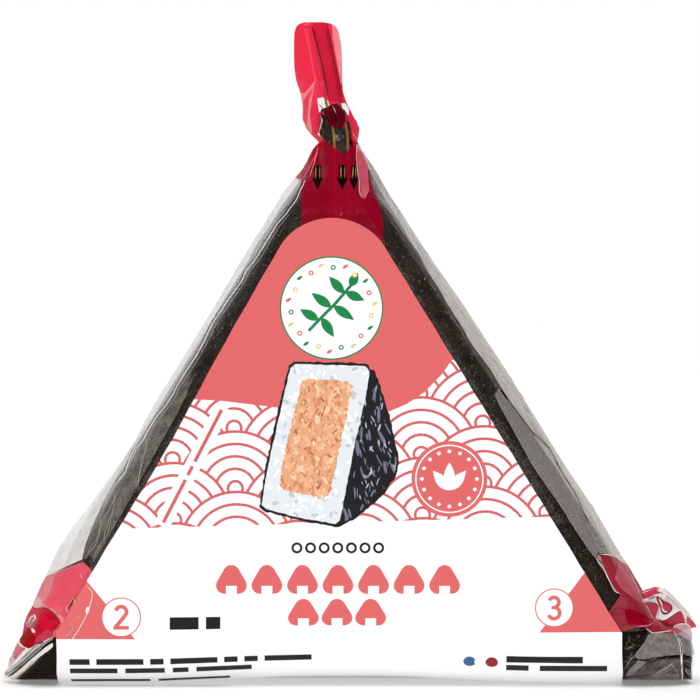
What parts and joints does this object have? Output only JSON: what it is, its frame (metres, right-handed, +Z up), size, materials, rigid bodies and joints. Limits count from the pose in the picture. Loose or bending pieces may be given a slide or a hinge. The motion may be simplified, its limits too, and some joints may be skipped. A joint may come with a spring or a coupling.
{
  "type": "packaged onigiri rice ball",
  "caption": "Triangular seaweed-wrapped rice ball sealed in clear film, with a red pull tab at the apex, folded film ears at the lower corners and a printed label over the front.",
  "frame": {"origin": "on the ground, below the middle of the whole pack's box", "axes": "+X to the viewer's right along the base, +Y from the labelled front towards the back, +Z up to the pull tab"},
  "size_m": [0.112, 0.0314, 0.1063],
  "materials": {
    "film": "clear polypropylene film over dark seaweed, glossy, with soft creases",
    "label": "white paper printed in coral, satin",
    "red_film": "translucent red print on clear film, glossy",
    "seaweed": "toasted dried seaweed sheet, near black, matte with a faint sheen",
    "tear_tape": "narrow tape with fine gold lines"
  },
  "bodies": {
    "root": {"film_pack": "film", "label": "label"}
  },
  "joints": []
}
